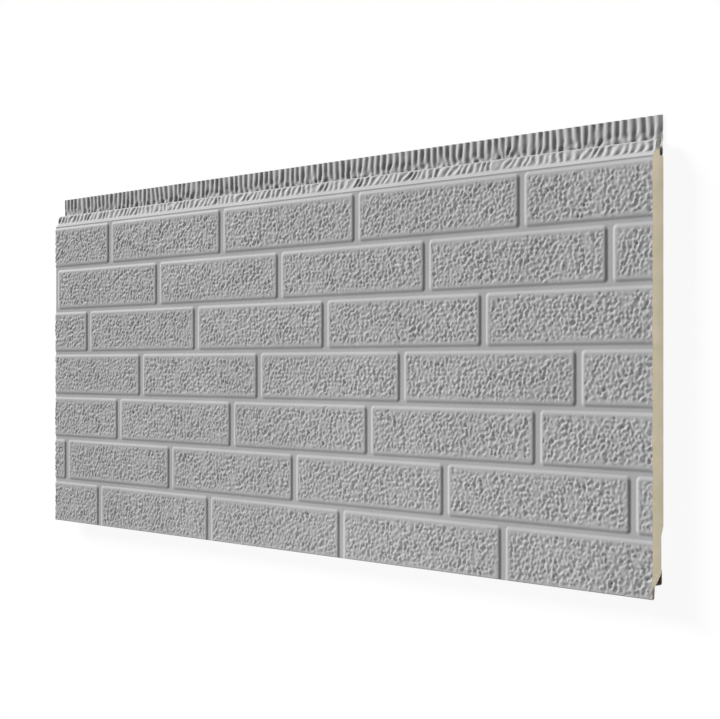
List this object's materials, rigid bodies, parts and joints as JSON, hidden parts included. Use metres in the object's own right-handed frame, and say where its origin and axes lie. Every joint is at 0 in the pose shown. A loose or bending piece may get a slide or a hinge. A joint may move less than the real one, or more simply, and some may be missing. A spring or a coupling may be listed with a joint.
{
  "type": "metal siding panel",
  "caption": "Flat wall siding panel: embossed brick-pattern painted steel face on a foam core, with a tongue and nailing flange on one long edge and an overlapping lip on the other.",
  "frame": {"origin": "under the middle of the panel, on the plane of its back", "axes": "+X along the brick courses, +Y towards the edge with the nailing flange, +Z out of the brick face"},
  "size_m": [0.948, 0.4166, 0.0165],
  "materials": {
    "face_paint": "satin grey coil coating over an embossed rough stone texture",
    "foam": "cut rigid foam, matt",
    "foil": "plain foil laminate"
  },
  "bodies": {
    "root": {"face_sheet": "face_paint", "foam_core": "foam", "back_foil": "foil"}
  },
  "joints": []
}
